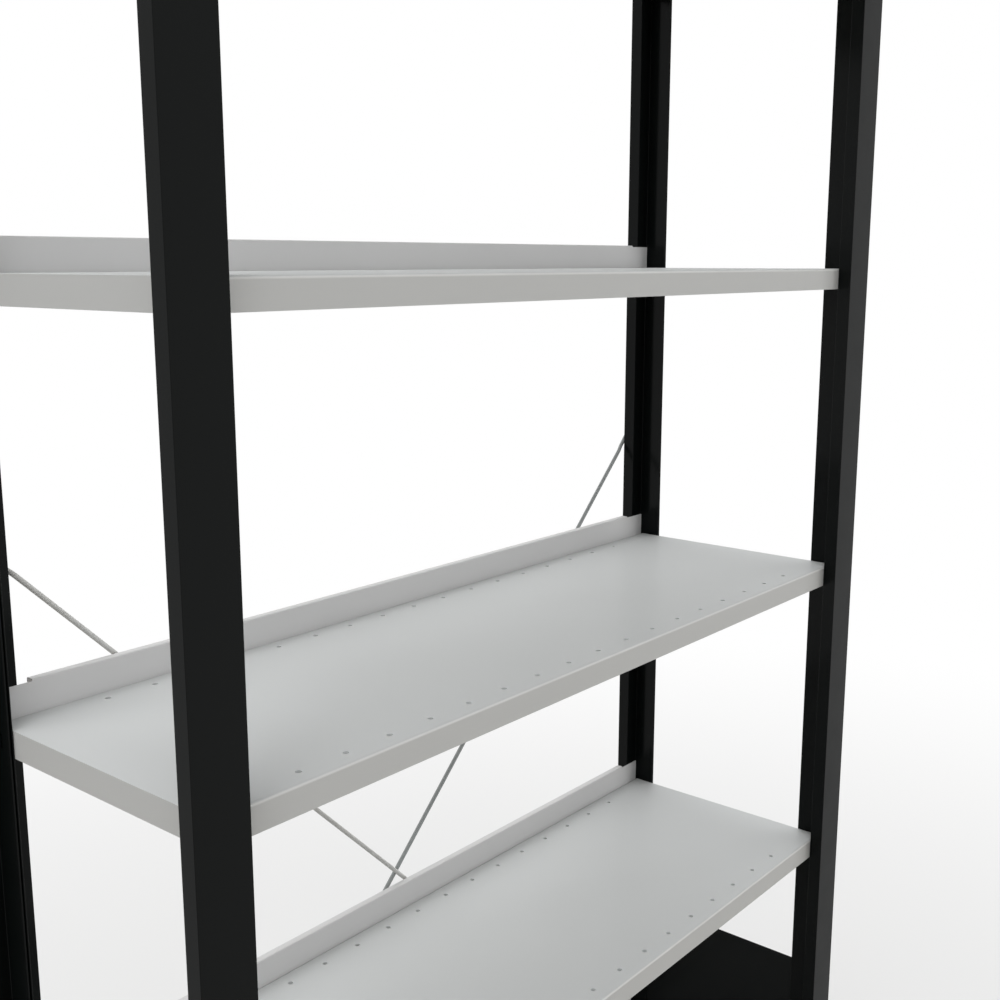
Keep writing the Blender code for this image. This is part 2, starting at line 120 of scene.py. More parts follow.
class ShelvingShelves(bpy.types.PropertyGroup):
    """Sizes and paint of the shelves and their stop strips."""
    sheet: length("Thickness of the shelf sheet", 0.001)
    bend: length("Outer radius of the long bends", 0.003)
    bend_steps: count("Flat steps round a long bend", 12, 2)
    crease: length("Radius left on the folded ends and cut edges", 0.00025)
    edge_return: length("Width of the return under the long edges", 0.012)
    return_setback: length("From the shelf's end to the end of the return", 0.045)
    relief_play: length("Between a clip and the end of the cut beside it", 0.0005)
    hole_diameter: length("Diameter of a divider hole", 0.0055)
    hole_pitch: length("From one divider hole to the next", 0.050)
    hole_inset: length("From a long face to the row of holes", 0.0185)
    holes: count("Divider holes along each long edge", 17, 1)
    collar: length("How far the drawn collar of a hole stands below the sheet", 0.0035)
    collar_wall: length("Thickness of a hole's collar", 0.0006)
    hole_sides: count("Flat sides on each round hole", 28, 6)
    tab_width: length("Width of the tabs that hang the stop strip on the shelf", 0.020)
    tab_reach: length("How far a tab comes through the shelf's rear edge", 0.008)
    tab_spacing: length("From one tab to the next", 0.350)
    tab_drop: length("From the shelf's top to a tab", 0.012)
    seat_gap: length("Between the shelf and the strip behind it", 0.0003)
    lip_bend: length("Outer radius at the strip's folded top", 0.0015)
    lip_steps: count("Flat steps round that bend", 10, 2)
    lip_hem: length("How far the fold's rear edge is bent down", 0.0045)
    lip_end_drop: length("How much lower the strip is in front of the posts", 0.0018)
    fold_setback: length("From the strip's end to the end of its fold", 0.036)
    paint: colour("Light grey coat on the shelves", (0.615, 0.631, 0.632))
    # The lighter coat on the long bends is a painted highlight.
    bend_highlight_paint: colour("Coat on the long bends, where it catches the light", (0.82, 0.83, 0.82))
    # The strips' coat is the shelves' light grey made lighter, as painted light.
    strip_lit_paint: colour("Light grey coat on the stop strips", (0.682, 0.681, 0.682))
    roughness: share("Roughness of the light grey coat", 0.55)
    shine: share("Shine of the light grey coat under its clear gloss", 0.0)
    sheen: share("Weak clear gloss on the light grey coat", 0.14)
    sheen_blur: share("Roughness of the clear gloss", 0.24)


class ShelvingClips(bpy.types.PropertyGroup):
    """Sizes of the hooked shelf clips."""
    stock: length("Thickness of the bent strip", 0.002)
    bend: length("Radius at the clip's bends", 0.0009)
    bend_steps: count("Flat steps round a bend", 5, 2)
    edge: length("Radius on the cut edges", 0.00025)
    hook_drop: length("From the ledge down to the hook", 0.008)
    toe: length("Length of the hook's toe behind the stem", 0.005)
    seat_gap: length("Between the clip and the stem", 0.0003)


class ShelvingBrace(bpy.types.PropertyGroup):
    """Sizes and steel of the crossed rods and their screws."""
    rod: length("Diameter of the round rod", 0.005)
    flat_width: length("Width of the flattened end", 0.012)
    flat_thickness: length("Thickness of the flattened end", 0.0016)
    flat_length: length("From the screw to where the flat begins to turn round", 0.022)
    flat_taper: length("Length over which the flat turns round", 0.014)
    inset: length("How far the rising rod steps forward once it is clear of the post", 0.0013)
    crank: length("Length over which a rod steps forward", 0.014)
    crossing_gap: length("Between the two rods where they cross", 0.0003)
    rod_sides: count("Flat sides round the rod", 24, 8)
    rod_steps: count("Steps along each change of the rod's shape", 10, 2)
    head: length("Diameter of the screw's head", 0.010)
    head_height: length("Height of the screw's head", 0.0035)
    shank: length("Diameter of the screw's shank", 0.005)
    socket: length("Across the corners of the socket in the screw's head", 0.0046)
    screw_edge: length("Radius on the screw's edges", 0.0002)
    plating: colour("Zinc on the screws", (0.56, 0.56, 0.54))
    # The two rods are one steel: the falling rod's lighter tone is painted light and the rising rod's darker
    # tone is painted shade.
    falling_rod_lit_steel: colour("Dull drawn steel of the falling rod", (0.60, 0.60, 0.585))
    rising_rod_shaded_steel: colour("Dull drawn steel of the rising rod", (0.34, 0.36, 0.36))


class ShelvingStage(bpy.types.PropertyGroup):
    """The camera, light and floor."""
    camera_place: FloatVectorProperty(description="Where the camera stands", subtype="TRANSLATION",
                                      default=(-1.00063, -0.837575, 1.26970))
    camera_tilt: number("How far the camera looks down", math.radians(10.841), "ROTATION")
    camera_heading: number("Where the camera looks, from +X towards +Y", math.radians(39.876), "ROTATION")
    camera_lens: number("Focal length", 44.98, "CAMERA")
    picture_width: number("Width of the picture behind the lens", 36.0, "CAMERA")
    lamp_distance: length("From the unit to each softbox", 5.0)
    lamp_size: length("Width and height of each softbox", 4.5)
    lamp_aim: length("Height that each softbox faces", 1.0)
    lamp_power: number("Power of a softbox of strength 1", 200.0, "POWER")
    floor_bounce: colour("Light that the floor sends back up", (0.47, 0.42, 0.36))
    # The floor's glow is dimmer near the unit: a painted shadow.
    floor_near_painted_shadow: share("Floor tone close to the unit", 0.77)
    # That part glows, and only the painted shadow darkens it.
    floor_glow: share("Part of the near floor's look that no shadow darkens", 0.70)
    floor_tone: colour("Colour of the floor where shadow falls on it", (0.9, 0.9, 0.89))
    floor_start: length("From the unit's middle to where the floor begins to whiten", 0.6)
    floor_white: length("From the unit's middle to where the floor is plain white", 3.0)
    floor_reach: length("Half the floor's width", 40.0)


SETTINGS = {
    "shelving_posts": ShelvingPosts,
    "shelving_shelves": ShelvingShelves,
    "shelving_clips": ShelvingClips,
    "shelving_brace": ShelvingBrace,
    "shelving_stage": ShelvingStage,
}


# Shapes

def linked(name, data):
    """A new object in the scene."""
    item = bpy.data.objects.new(name, data)
    bpy.context.scene.collection.objects.link(item)
    return item


def piece_from(name, shape):
    """An object from a bmesh, with its faces pointing out."""
    bmesh.ops.recalc_face_normals(shape, faces=shape.faces)
    mesh = bpy.data.meshes.new(name)
    shape.to_mesh(mesh)
    shape.free()
    return linked(name, mesh)


def add_prism(shape, outline, low, high, axis):
    """An outline, drawn in the two other axes in X, Y, Z order, drawn out along one axis."""
    def place(u, v, along):
        return {"X": (along, u, v), "Y": (u, along, v), "Z": (u, v, along)}[axis]
    near = [shape.verts.new(place(u, v, low)) for u, v in outline]
    far = [shape.verts.new(place(u, v, high)) for u, v in outline]
    shape.faces.new(near)
    shape.faces.new(reversed(far))
    for index in range(len(outline)):
        following = (index + 1) % len(outline)
        shape.faces.new((near[index], far[index], far[following], near[following]))


def prism(name, outline, low, high, axis):
    shape = bmesh.new()
    add_prism(shape, outline, low, high, axis)
    return piece_from(name, shape)


def boxes(name, spans):
    """Separate boxes in one mesh, each given as three (low, high) spans."""
    shape = bmesh.new()
    for (x0, x1), (y0, y1), (z0, z1) in spans:
        add_prism(shape, [(x0, y0), (x1, y0), (x1, y1), (x0, y1)], z0, z1, "Z")
    return piece_from(name, shape)


def rounded(corners, steps=8):
    """An outline with each (u, v, radius) corner turned into an arc; a radius of 0 stays sharp."""
    outline = []
    for index, (u, v, radius) in enumerate(corners):
        corner = Vector((u, v))
        if radius == 0:
            outline.append((u, v))
            continue
        back = (Vector(corners[index - 1][:2]) - corner).normalized()
        ahead = (Vector(corners[(index + 1) % len(corners)][:2]) - corner).normalized()
        half = back.angle(ahead) / 2
        centre = corner + (back + ahead).normalized() * radius / math.sin(half)
        start = corner + back * radius / math.tan(half) - centre
        end = corner + ahead * radius / math.tan(half) - centre
        turn = start.angle_signed(end)
        for step in range(steps + 1):
            angle = -turn * step / steps
            point = centre + Matrix.Rotation(angle, 2) @ start
            outline.append((point.x, point.y))
    return outline


def plain_mesh(piece):
    """Replace a piece's mesh by the result of its modifiers, and remove them."""
    view = bpy.context.evaluated_depsgraph_get()
    shown = piece.evaluated_get(view)
    mesh = bpy.data.meshes.new_from_object(shown, preserve_all_data_layers=True, depsgraph=view)
    piece.modifiers.clear()
    piece.data = mesh
    return piece


def combine(piece, tool, operation="DIFFERENCE"):
    """Cut a tool out of a piece, or join it on, and remove the tool."""
    modifier = piece.modifiers.new("combine", "BOOLEAN")
    modifier.operation = operation
    modifier.solver = "EXACT"
    modifier.object = tool
    plain_mesh(piece)
    bpy.data.objects.remove(tool)


def soften(piece, radius, segments=2):
    """Round the sharp edges a little and keep the flat faces flat in shading."""
    for face in piece.data.polygons:
        face.use_smooth = True
    bevel = piece.modifiers.new("edges", "BEVEL")
    bevel.width = radius
    bevel.segments = segments
    bevel.limit_method = "ANGLE"
    bevel.angle_limit = math.radians(40)
    bevel.miter_outer = "MITER_ARC"
    normals = piece.modifiers.new("normals", "WEIGHTED_NORMAL")
    normals.keep_sharp = True
    return plain_mesh(piece)


def dress(piece, body, slot, material, *nodes):
    """Give a finished piece its body and, unless a tree gave it one, its material, and hide the parts that it
    stands for.
    """
    if not any(piece.data.materials):
        piece.data.materials.clear()
        piece.data.materials.append(material)
    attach(piece, body)
    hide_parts(*nodes)


def moved_copy(piece, name, move):
    """A copy with a move worked into its mesh."""
    mesh = piece.data.copy()
    mesh.transform(move)
    return linked(name, mesh)


def middle(node):
    low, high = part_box(node)
    return (low + high) / 2


# Node trees

def fill(node, inputs):
    """Wire a node's inputs to other sockets, or set them to values."""
    for name, value in inputs.items():
        if isinstance(value, bpy.types.NodeSocket):
            node.id_data.links.new(value, node.inputs[name])
        else:
            node.inputs[name].default_value = value


def add(tree, kind, inputs=None, **options):
    """A node with its options set and its inputs filled."""
    node = tree.nodes.new(kind)
    for name, value in options.items():
        setattr(node, name, value)
    fill(node, inputs or {})
    return node


def geometry_tree(name, inputs):
    """An empty geometry tree with its sockets; inputs are names by their kind."""
    tree = bpy.data.node_groups.new(name, "GeometryNodeTree")
    tree.interface.new_socket("Geometry", in_out="INPUT", socket_type="NodeSocketGeometry")
    for kind, sockets in inputs.items():
        for socket in sockets:
            tree.interface.new_socket(socket, in_out="INPUT", socket_type=f"NodeSocket{kind}")
    tree.interface.new_socket("Geometry", in_out="OUTPUT", socket_type="NodeSocketGeometry")
    return tree


def run_tree(piece, tree, values):
    """Run a geometry tree on a piece and keep its result as a plain mesh."""
    modifier = piece.modifiers.new(tree.name, "NODES")
    modifier.node_group = tree
    for item in tree.interface.items_tree:
        if item.item_type == "SOCKET" and item.in_out == "INPUT" and item.name in values:
            modifier[item.identifier] = values[item.name]
    return plain_mesh(piece)


def bar(tree, given, radius, depth):
    """A round bar along Z, from two of the tree's inputs."""
    sizes = {"Vertices": given["Sides"], "Radius": given[radius], "Depth": given[depth]}
    return add(tree, "GeometryNodeMeshCylinder", sizes, fill_type="NGON").outputs["Mesh"]


def cut_away(tree, whole, part):
    """What is left of one mesh after another is cut out of it."""
    meshes = {"Mesh 1": whole, "Mesh 2": part}
    cut = add(tree, "GeometryNodeMeshBoolean", meshes, operation="DIFFERENCE", solver="EXACT")
    return cut.outputs["Mesh"]


def joined(tree, *parts):
    """Several geometries as one."""
    node = add(tree, "GeometryNodeJoinGeometry")
    for part in parts:
        fill(node, {"Geometry": part})
    return node.outputs["Geometry"]


def at_points(tree, points, shape, **more):
    """A shape set at each of some points."""
    copies = {"Points": points, "Instance": shape, **more}
    return add(tree, "GeometryNodeInstanceOnPoints", copies).outputs["Instances"]


def finish_tree(tree, geometry, finish):
    """Realize the instances, set the material and hand the result out."""
    real = add(tree, "GeometryNodeRealizeInstances", {"Geometry": geometry})
    parts = {"Geometry": real.outputs["Geometry"], "Material": finish}
    painted = add(tree, "GeometryNodeSetMaterial", parts)
    add(tree, "NodeGroupOutput", {"Geometry": painted.outputs["Geometry"]})
    return tree


def hole_rows_tree():
    """Two straight rows of round holes, cut through a sheet and drawn down into short collars."""
    tree = geometry_tree("divider_holes", {
        "Vector": ("Front Start", "Rear Start", "Step", "Collar Place"), "Int": ("Holes", "Sides"),
        "Float": ("Radius", "Depth", "Collar Radius", "Collar"), "Material": ("Paint",)})
    given = add(tree, "NodeGroupInput").outputs
    rows = []
    for start in ("Front Start", "Rear Start"):
        places = {"Count": given["Holes"], "Start Location": given[start], "Offset": given["Step"]}
        rows.append(add(tree, "GeometryNodeMeshLine", places, mode="OFFSET").outputs["Mesh"])
    points = joined(tree, *rows)
    punch = bar(tree, given, "Radius", "Depth")
    sheet = cut_away(tree, given["Geometry"], at_points(tree, points, punch))
    collar = cut_away(tree, bar(tree, given, "Collar Radius", "Collar"), punch)
    drop = {"Geometry": collar, "Translation": given["Collar Place"]}
    lowered = add(tree, "GeometryNodeTransform", drop).outputs["Geometry"]
    whole = joined(tree, sheet, at_points(tree, points, lowered))
    return finish_tree(tree, whole, given["Paint"])


def placed_copies_tree():
    """One shape set at each point of a mesh, turned about the vertical by the point's own angle."""
    tree = geometry_tree("placed_copies", {"Object": ("Shape",), "Material": ("Finish",)})
    given = add(tree, "NodeGroupInput").outputs
    shape = add(tree, "GeometryNodeObjectInfo", {"Object": given["Shape"]}, transform_space="ORIGINAL")
    turn = add(tree, "GeometryNodeInputNamedAttribute", {"Name": "turn"}, data_type="FLOAT")
    upright = add(tree, "ShaderNodeCombineXYZ", {"Z": turn.outputs["Attribute"]})
    turned = add(tree, "FunctionNodeEulerToRotation", {"Euler": upright.outputs["Vector"]})
    copies = at_points(tree, given["Geometry"], shape.outputs["Geometry"],
                       Rotation=turned.outputs["Rotation"])
    return finish_tree(tree, copies, given["Finish"])


def set_of_copies(name, shape, places, finish):
    """A piece made of copies of a shape at (place, turn) pairs; the shape is removed."""
    mesh = bpy.data.meshes.new(name)
    mesh.from_pydata([place for place, turn in places], [], [])
    turns = mesh.attributes.new("turn", "FLOAT", "POINT")
    turns.data.foreach_set("value", [turn for place, turn in places])
    piece = linked(name, mesh)
    run_tree(piece, placed_copies_tree(), {"Shape": shape, "Finish": finish})
    bpy.data.objects.remove(shape)
    return piece


# Finishes

def principled(name):
    """A new material and its shader node."""
    material = bpy.data.materials.new(name)
    material.use_nodes = True
    return material, material.node_tree.nodes["Principled BSDF"]


def noise(tree, scale, detail):
    """The level of a noise pattern that is fixed to the piece."""
    place = add(tree, "ShaderNodeTexCoord").outputs["Object"]
    pattern = {"Vector": place, "Scale": scale, "Detail": detail}
    return add(tree, "ShaderNodeTexNoise", pattern).outputs["Fac"]


def vary_colour(shader, base, spread, scale):
    """Cloudy light and dark drifts of a colour."""
    tree = shader.id_data
    dark = [part * (1 - spread) for part in base]
    light = [min(1.0, part * (1 + spread)) for part in base]
    drifts = {"Factor": noise(tree, scale, detail=3.0), "A": (*dark, 1.0), "B": (*light, 1.0)}
    blend = add(tree, "ShaderNodeMix", drifts, data_type="RGBA")
    fill(shader, {"Base Color": blend.outputs["Result"]})


def vary_roughness(shader, base, spread, scale):
    """Smoother and duller patches."""
    tree = shader.id_data
    levels = {"Value": noise(tree, scale, detail=2.0), "From Min": 0.3, "From Max": 0.7,
              "To Min": base - spread, "To Max": base + spread}
    fill(shader, {"Roughness": add(tree, "ShaderNodeMapRange", levels).outputs["Result"]})


def bump(shader, scale, detail, height, strength):
    """A fine relief in the surface."""
    tree = shader.id_data
    relief = {"Height": noise(tree, scale, detail), "Strength": strength, "Distance": height}
    fill(shader, {"Normal": add(tree, "ShaderNodeBump", relief).outputs["Normal"]})


def powder_coat(name, base, settings, shine, sheen_blur):
    """Baked powder paint: even colour with faint drifts and the fine relief that the powder leaves."""
    material, shader = principled(name)
    vary_colour(shader, base, spread=0.02, scale=3.5)
    vary_roughness(shader, settings.roughness, spread=0.04, scale=30.0)
    bump(shader, scale=900.0, detail=1.0, height=0.00004, strength=0.25)
    fill(shader, {"Specular IOR Level": shine, "Coat Weight": settings.sheen, "Coat Roughness": sheen_blur})
    return material


def paint_bend_highlight(material, light):
    """Blend a painted highlight, a lighter colour, in by the mesh's bend attribute."""
    tree = material.node_tree
    shader = tree.nodes["Principled BSDF"]
    flat_paint = shader.inputs["Base Color"].links[0].from_socket
    bend = add(tree, "ShaderNodeAttribute", attribute_name="bend")
    paints = {"Factor": bend.outputs["Fac"], "A": flat_paint, "B": (*light, 1.0)}
    blend = add(tree, "ShaderNodeMix", paints, data_type="RGBA")
    fill(shader, {"Base Color": blend.outputs["Result"]})


def mark_bend_highlight(piece):
    """Store on each face how much painted highlight it takes in an upward bend: 1 on the highlight's line, 0
    on the flat faces.
    """
    bend = piece.data.attributes.new("bend", "FLOAT", "FACE")
    turns = [math.atan2(abs(face.normal.y), face.normal.z) for face in piece.data.polygons]
    spread = math.pi / 2 - BEND_HIGHLIGHT
    bend.data.foreach_set("value", [max(0.0, 1 - abs(turn - BEND_HIGHLIGHT) / spread) for turn in turns])


def plated_steel(name, base):
    """Zinc plating: metal with lighter and darker, smoother and duller spots."""
    material, shader = principled(name)
    vary_colour(shader, base, spread=0.10, scale=60.0)
    vary_roughness(shader, base=0.30, spread=0.07, scale=120.0)
    bump(shader, scale=1500.0, detail=2.0, height=0.00003, strength=0.2)
    fill(shader, {"Metallic": 1.0})
    return material


def drawn_steel(name, base):
    """Dull drawn steel, part metal and part grey oxide, with slow drifts of tone."""
    material, shader = principled(name)
    vary_colour(shader, base, spread=0.04, scale=14.0)
    vary_roughness(shader, base=0.55, spread=0.05, scale=20.0)
    fill(shader, {"Metallic": 0.3, "Specular IOR Level": 0.2})
    return material


def moulded_plastic(name, base):
    """Moulded plastic with a sparked grain."""
    material, shader = principled(name)
    vary_colour(shader, base, spread=0.06, scale=20.0)
    vary_roughness(shader, base=0.52, spread=0.05, scale=80.0)
    bump(shader, scale=2200.0, detail=1.0, height=0.00006, strength=0.4)
    return material


# Posts, side plates, feet and caps

def both_halves(corners):
    """The right half of an outline, from front to back, and its mirror image."""
    return corners + [(-across, *rest) for across, *rest in reversed(corners)]


def wing_and_depth():
    """Half the width of a post's wing and the whole depth of the post."""
    low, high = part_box(MODEL_POST)
    return (high.x - low.x) / 2, high.y - low.y


def post_corners(settings):
    """The post in plan, from the wing's outer face inwards, with its radii."""
    wing, depth = wing_and_depth()
    stem = settings.stem_thickness / 2
    groove = settings.groove_width / 2
    back = settings.wing_depth
    radius = settings.wing_corner
    edge = settings.stem_edge
    return both_halves([(wing, 0, radius), (wing, back, radius), (stem, back, edge), (stem, depth, edge),
                        (groove, depth, 0), (groove, depth - settings.groove_depth, 0)])


def tee_corners(settings, rim):
    """The post's T without its groove, grown by a rim."""
    wing, depth = wing_and_depth()
    side = wing + rim
    stem = settings.stem_thickness / 2 + rim
    back = settings.wing_depth + rim
    radius = settings.wing_corner + rim
    return both_halves([(side, -rim, radius), (side, back, radius), (stem, back, 0),
                        (stem, depth + rim, rim)])


def wing_block(settings, inset, low, high):
    """A block inside a wing, an inset from its outside, between two heights."""
    half = wing_and_depth()[0] - inset
    return boxes("wing_block", [((-half, half), (inset, settings.wing_depth - inset), (low, high))])


def inward(depth_name):
    """The turn about the vertical that points a front piece's depth into the unit."""
    return 0.0 if depth_name == "front" else math.pi


def outer_face(depth_name, side_name):
    """Where a post meets the outside on its own axis, at its lower end."""
    low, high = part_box(f"post_{depth_name}_{side_name}")
    return Vector(((low.x + high.x) / 2, low.y if depth_name == "front" else high.y, low.z))


def clip_slots(settings, foot):
    """Slots through a post's stem at the shelf clips, in the post's own place with its lower end at 0."""
    across = settings.stem_thickness / 2 + OVERCUT
    clips = bpy.context.scene.shelving_clips
    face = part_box(MODEL_POST)[0].y
    spans = []
    for level in LEVELS:
        low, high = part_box(f"shelf_clip_{level}_front_right")
        hook_top = high.z - clips.hook_drop - foot
        depth = (low.y - face - clips.seat_gap, high.y - face + clips.seat_gap)
        height = (hook_top - clips.stock - clips.seat_gap, hook_top + clips.toe + 2 * clips.seat_gap)
        spans.append(((-across, across), depth, height))
    return boxes("clip_slots", spans)


class SHELVING_OT_posts(bpy.types.Operator):
    """Build the four T-section posts"""
    bl_idname = "shelving.posts"
    bl_label = "Posts"

    def execute(self, context):
        settings = context.scene.shelving_posts
        coat = powder_coat("post_black", settings.paint, settings, settings.shine, settings.sheen_blur)
        low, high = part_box(MODEL_POST)
        height = high.z - low.z
        shape = prism("post_shape", rounded(post_corners(settings)), 0.0, height, "Z")
        combine(shape, wing_block(settings, settings.wing_wall, -OVERCUT, height + OVERCUT))
        combine(shape, clip_slots(settings, low.z))
        soften(shape, settings.stem_edge / 2)
        for depth, side in CORNERS:
            place = Matrix.Translation(outer_face(depth, side))
            turn = Matrix.Rotation(inward(depth), 4, "Z")
            piece = moved_copy(shape, f"post_profile_{depth}_{side}", place @ turn)
            dress(piece, FRAME_BODY, "black_paint", coat, f"post_{depth}_{side}")
        bpy.data.objects.remove(shape)
        return {"FINISHED"}


class SHELVING_OT_side_plates(bpy.types.Operator):
    """Build the plates that tie the front and rear posts together"""
    bl_idname = "shelving.side_plates"
    bl_label = "Side plates"

    def execute(self, context):
        settings = context.scene.shelving_posts
        coat = powder_coat("plate_black", settings.paint, settings, settings.plate_shine,
                           settings.plate_sheen_blur)
        for end in ("lower", "upper"):
            for side in SIDES:
                node = f"side_plate_{end}_{side}"
                low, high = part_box(node)
                piece = boxes(f"plate_sheet_{end}_{side}", [tuple(zip(low, high))])
                soften(piece, (high.x - low.x) / 4)
                dress(piece, FRAME_BODY, "black_paint", coat, node)
        return {"FINISHED"}


def end_moulding(settings, name, rim, plate, plug):
    """A T-shaped plate with a plug that fits inside a wing, each between two heights."""
    shape = prism(name, rounded(tee_corners(settings, rim)), *plate, "Z")
    combine(shape, wing_block(settings, settings.plug_inset, *plug), "UNION")
    return soften(shape, settings.foot_edge, segments=3)


class SHELVING_OT_feet_and_caps(bpy.types.Operator):
    """Build the plastic feet and caps"""
    bl_idname = "shelving.feet_and_caps"
    bl_label = "Feet and caps"

    def execute(self, context):
        settings = context.scene.shelving_posts
        plastic = moulded_plastic("black_plastic", settings.plastic)
        foot_low, foot_high = (corner.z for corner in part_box("foot_front_right"))
        foot_plate = (foot_low, foot_low + settings.foot_thickness)
        foot_plug = (foot_low + settings.foot_thickness / 2, foot_high)
        cap_low, cap_high = (corner.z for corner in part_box("cap_front_right"))
        cap_plate = (cap_high - settings.cap_thickness, cap_high)
        cap_plug = (cap_low, cap_high - settings.cap_thickness / 2)
        places = [((*outer_face(depth, side).xy, 0.0), inward(depth)) for depth, side in CORNERS]
        for name, rim, plate, plug in (("foot", settings.foot_rim, foot_plate, foot_plug),
                                       ("cap", 0.0, cap_plate, cap_plug)):
            shape = end_moulding(settings, f"{name}_shape", rim, plate, plug)
            piece = set_of_copies(f"{name}_mouldings", shape, places, plastic)
            nodes = [f"{name}_{depth}_{side}" for depth, side in CORNERS]
            dress(piece, FRAME_BODY, "black_plastic", plastic, *nodes)
        return {"FINISHED"}


# Shelves and stop strips

def tray_corners(settings, low, high, inset, foot):
    """The shelf's section across its depth, shrunk by an inset."""
    radius = settings.bend - inset
    top = high.z - inset
    return [(low.y + inset, foot, 0), (low.y + inset, top, radius), (high.y - inset, top, radius),
            (high.y - inset, foot, 0)]


def under_opening(settings, low, high):
    """The open underside in plan, narrower between the returns of the long edges."""
    end = high.x - settings.sheet
    inner = high.x - settings.return_setback
    front = low.y + settings.sheet
    rear = high.y - settings.sheet
    inner_front = low.y + settings.edge_return
    inner_rear = high.y - settings.edge_return
    return both_halves([(inner, inner_front), (inner, front), (end, front), (end, rear), (inner, rear),
                        (inner, inner_rear)])


def tab_places(settings):
    return (-settings.tab_spacing, 0.0, settings.tab_spacing)


def shelf_shape(settings, low, high, paint):
    """A shelf in the place of the lowest one: bent sheet, clip reliefs, tab slots and divider holes."""
    sheet = settings.sheet
    inner_end = high.x - sheet
    outside = rounded(tray_corners(settings, low, high, 0.0, low.z), settings.bend_steps)
    piece = prism("shelf_shape", outside, low.x, high.x, "X")
    inside = rounded(tray_corners(settings, low, high, sheet, low.z + sheet), settings.bend_steps)
    combine(piece, prism("inside", inside, -inner_end, inner_end, "X"))
    opening = under_opening(settings, low, high)
    combine(piece, prism("opening", opening, low.z - OVERCUT, (low.z + high.z) / 2, "Z"))

    reliefs = []
    front_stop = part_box("shelf_clip_1_front_right")[1].y + settings.relief_play
    rear_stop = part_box("shelf_clip_1_rear_right")[0].y - settings.relief_play
    for span in ((low.y + sheet, front_stop), (rear_stop, high.y - sheet)):
        for side in ((low.x - OVERCUT, -inner_end + OVERCUT), (inner_end - OVERCUT, high.x + OVERCUT)):
            reliefs.append((side, span, (low.z - OVERCUT, high.z - sheet)))
    combine(piece, boxes("reliefs", reliefs))

    gap = settings.seat_gap
    half = settings.tab_width / 2 + gap
    tab_top = high.z - settings.tab_drop
    slots = [((place - half, place + half), (high.y - sheet - OVERCUT, high.y + OVERCUT),
              (tab_top - sheet - gap, tab_top + gap)) for place in tab_places(settings)]
    combine(piece, boxes("tab_slots", slots))

    first = -settings.hole_pitch * (settings.holes - 1) / 2
    run_tree(piece, hole_rows_tree(), {
        "Front Start": (first, low.y + settings.hole_inset, high.z),
        "Rear Start": (first, high.y - settings.hole_inset, high.z),
        "Step": (settings.hole_pitch, 0.0, 0.0),
        "Holes": settings.holes,
        "Sides": settings.hole_sides,
        "Radius": settings.hole_diameter / 2,
        "Depth": 4 * settings.collar,
        "Collar Radius": settings.hole_diameter / 2 + settings.collar_wall,
        "Collar": settings.collar,
        "Collar Place": (0.0, 0.0, -sheet - settings.collar / 2),
        "Paint": paint})
    return soften(piece, settings.crease)


def at_each_level(shape, name, node_name, slot, paint):
    """Copies of the lowest level's shape, each riding the shelf of its own level; the shape is removed."""
    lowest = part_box(f"{node_name}_1")[1].z
    for level in LEVELS:
        node = f"{node_name}_{level}"
        rise = Matrix.Translation((0.0, 0.0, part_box(node)[1].z - lowest))
        piece = moved_copy(shape, f"{name}_{level}", rise)
        dress(piece, f"lift_off_shelf_{level}", slot, paint, node)
    bpy.data.objects.remove(shape)


class SHELVING_OT_shelves(bpy.types.Operator):
    """Build the bent sheet shelves with their divider holes"""
    bl_idname = "shelving.shelves"
    bl_label = "Shelves"

    def execute(self, context):
        settings = context.scene.shelving_shelves
        paint = powder_coat("shelf_grey", settings.paint, settings, settings.shine, settings.sheen_blur)
        # The long bends get a painted highlight: a lighter colour, blended in by their bend attribute.
        paint_bend_highlight(paint, settings.bend_highlight_paint)
        shape = shelf_shape(settings, *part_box("shelf_1"), paint)
        mark_bend_highlight(shape)
        at_each_level(shape, "shelf_sheet", "shelf", "grey_paint", paint)
        return {"FINISHED"}


def strip_corners(settings, front, back, low, high):
    """The stop strip's section: an upright plate with its top folded back and then down in a short hem."""
    under = high.z - settings.sheet
    hem_foot = high.z - settings.lip_hem
    hem_inner = high.y - settings.sheet
    bend = settings.lip_bend
    inner = bend - settings.sheet
    return [(front, low.z, 0), (front, high.z, bend), (high.y, high.z, bend), (high.y, hem_foot, 0),
            (hem_inner, hem_foot, 0), (hem_inner, under, inner), (back, under, inner), (back, low.z, 0)]


def strip_shape(settings, low, high):
    """A stop strip in the place of the lowest one."""
    shelf_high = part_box("shelf_1")[1]
    front = shelf_high.y + settings.seat_gap
    back = front + settings.sheet
    outline = rounded(strip_corners(settings, front, back, low, high), settings.lip_steps)
    piece = prism("strip_shape", outline, low.x, high.x, "X")
    fold_end = high.x - settings.fold_setback
    ends = ((low.x - OVERCUT, -fold_end), (fold_end, high.x + OVERCUT))
    fold_depth = (front - OVERCUT, high.y + OVERCUT)
    fold_height = (high.z - settings.lip_end_drop, high.z + OVERCUT)
    combine(piece, boxes("fold_ends", [(end, fold_depth, fold_height) for end in ends]))
    hem_depth = (high.y - settings.sheet - OVERCUT, high.y + OVERCUT)
    hem_height = (high.z - settings.lip_hem - OVERCUT, high.z)
    combine(piece, boxes("hem_ends", [(end, hem_depth, hem_height) for end in ends]))
    half = settings.tab_width / 2
    top = shelf_high.z - settings.tab_drop
    tabs = [((place - half, place + half), (front - settings.tab_reach, front + settings.sheet / 2),
             (top - settings.sheet, top)) for place in tab_places(settings)]
    combine(piece, boxes("tabs", tabs), "UNION")
    return soften(piece, settings.crease)


